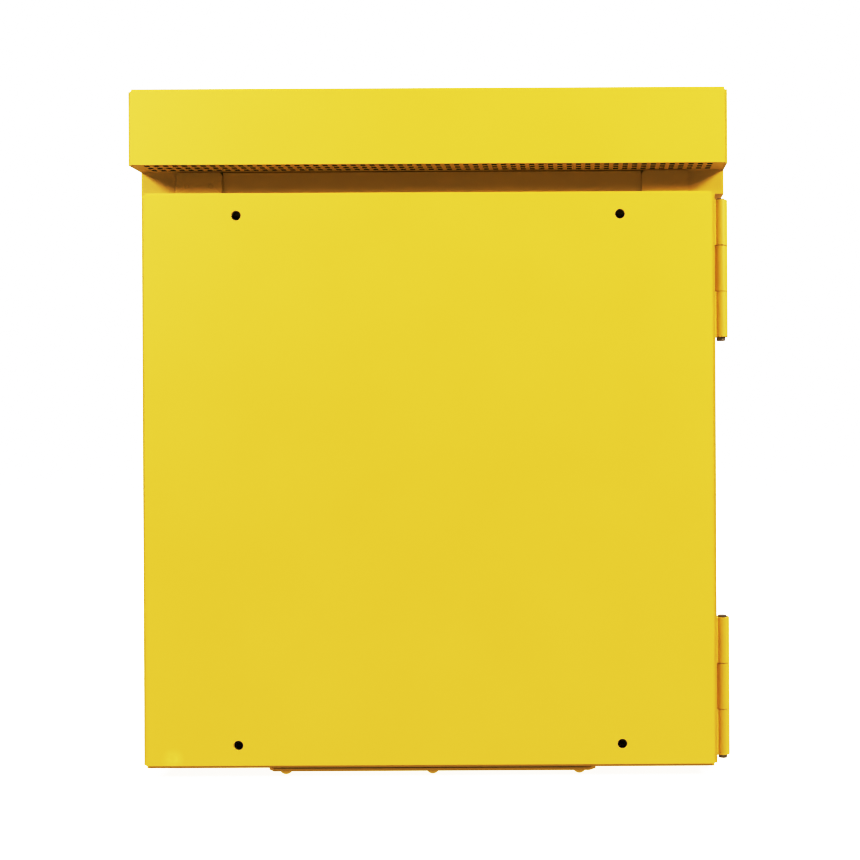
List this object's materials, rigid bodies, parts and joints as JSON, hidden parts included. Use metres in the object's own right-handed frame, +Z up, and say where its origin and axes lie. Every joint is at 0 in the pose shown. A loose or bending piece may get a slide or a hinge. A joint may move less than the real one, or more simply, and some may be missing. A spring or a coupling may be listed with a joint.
{
  "type": "wall mailbox",
  "caption": "Yellow sheet-steel wall mailbox with an overhanging vented cap, an inward-swinging posting flap under it, a side-hinged emptying door and a side cam lock.",
  "frame": {"origin": "centre of the footprint on the surface that the domed base bolts stand on", "axes": "+Z up, -Y is the front with the door and posting slot, the door's hinges are on +X, +Y is the wall side"},
  "size_m": [0.439, 0.206, 0.5025],
  "materials": {
    "yellow_coat": "satin powder coat with fine orange peel",
    "zinc_steel": "bright zinc plate",
    "lock_chrome": "polished",
    "bare_pin_steel": "bare, lightly oxidised",
    "screen_steel": "dull woven wire",
    "black_rubber": "matte foam rubber"
  },
  "bodies": {
    "cabinet": {"body_wrapper": "yellow_coat", "floor_pan": "yellow_coat", "front_frame": "yellow_coat", "top_cap": "yellow_coat", "header_panel": "yellow_coat", "vent_strip": "yellow_coat", "mail_baffle": "yellow_coat", "flap_bracket_left": "yellow_coat", "flap_bracket_right": "yellow_coat", "bracket_rivets": "yellow_coat", "rod_ears": "yellow_coat", "body_hinge_upper": "yellow_coat", "body_hinge_lower": "yellow_coat", "lock_guard_ring": "yellow_coat", "base_plate": "yellow_coat", "base_bolts": "yellow_coat", "strip_rivets": "yellow_coat", "screen_clips": "zinc_steel", "lock_nut": "zinc_steel", "base_washers": "zinc_steel", "base_nuts": "zinc_steel", "lock_housing": "lock_chrome", "hinge_pin_upper": "bare_pin_steel", "hinge_pin_lower": "bare_pin_steel", "flap_rod": "bare_pin_steel", "insect_screen": "screen_steel", "door_rest_strip": "black_rubber", "wall_grommets": "black_rubber"},
    "door": {"door_panel": "yellow_coat", "door_gasket": "black_rubber", "door_stiffener_left": "yellow_coat", "door_stiffener_right": "yellow_coat", "door_strike": "zinc_steel", "door_knuckles_upper": "yellow_coat", "door_knuckles_lower": "yellow_coat"},
    "flap": {"posting_flap": "yellow_coat"},
    "cam": {"lock_plug": "lock_chrome", "lock_cam": "zinc_steel", "cam_screw": "zinc_steel"}
  },
  "joints": [
    {"name": "door_hinge", "type": "hinge", "parent": "cabinet", "child": "door", "pos_m": [0.2144, -0.087, 0.217], "axis": [0, 0, 1], "range_deg": [0, 175]},
    {"name": "flap_pivot", "type": "hinge", "parent": "cabinet", "child": "flap", "pos_m": [0, -0.0753, 0.4432], "axis": [1, 0, 0], "range_deg": [0, 75]},
    {"name": "cam_turn", "type": "hinge", "parent": "cabinet", "child": "cam", "pos_m": [-0.19, -0.058, 0.2175], "axis": [-1, 0, 0], "range_deg": [0, 90]}
  ]
}
